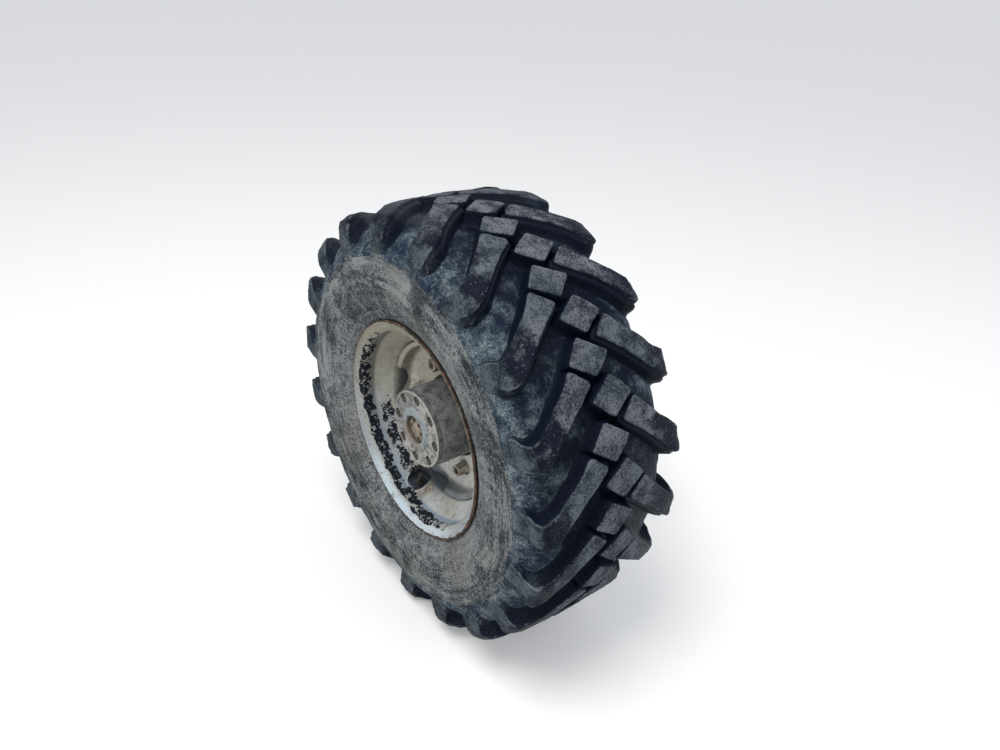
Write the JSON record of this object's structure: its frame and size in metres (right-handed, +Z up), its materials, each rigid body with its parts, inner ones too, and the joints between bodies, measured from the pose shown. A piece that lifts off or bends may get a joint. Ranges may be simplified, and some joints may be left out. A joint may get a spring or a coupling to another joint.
{
  "type": "dumper wheel end",
  "caption": "Driven wheel end of a site dumper: lugged tyre on a dished rim, planetary hub, brake housing and rigid axle arm with a bolted inner flange.",
  "frame": {"origin": "centre of the axle arm's inner flange face, on the wheel's axis", "axes": "+Y inboard along the axle, out of the flange face towards the differential; +Z up; the machine travels along -X; the wheel's outer face looks along -Y"},
  "size_m": [1.0798, 0.6859, 1.0774],
  "materials": {
    "tyre_rubber": "worn and dusty",
    "rim_paint": "chipped cream paint",
    "hub_iron": "dusty",
    "cap_steel": "dusty",
    "bolt_steel": "rusty",
    "machined_steel": "oily",
    "axle_paint": "dusty blue-grey paint",
    "brass": "dull"
  },
  "bodies": {
    "axle": {"spindle": "machined_steel", "brake_housing": "axle_paint", "brake_port": "machined_steel", "bleed_screw": "brass", "housing_bolts": "bolt_steel", "axle_arm": "axle_paint"},
    "wheel": {"tyre": "tyre_rubber", "rim_barrel": "rim_paint", "rim_disc": "rim_paint", "tyre_valve": "brass", "hub_body": "hub_iron", "wheel_studs": "bolt_steel", "wheel_nuts": "bolt_steel", "hub_drum": "hub_iron", "hub_end_cover": "hub_iron", "end_cover_bolts": "bolt_steel", "hub_centre_cap": "cap_steel", "centre_cap_screws": "bolt_steel"}
  },
  "joints": [
    {"name": "wheel_spin", "type": "hinge", "parent": "axle", "child": "wheel", "pos_m": [0, -0.48, 0], "axis": [0, 1, 0], "continuous": true}
  ]
}
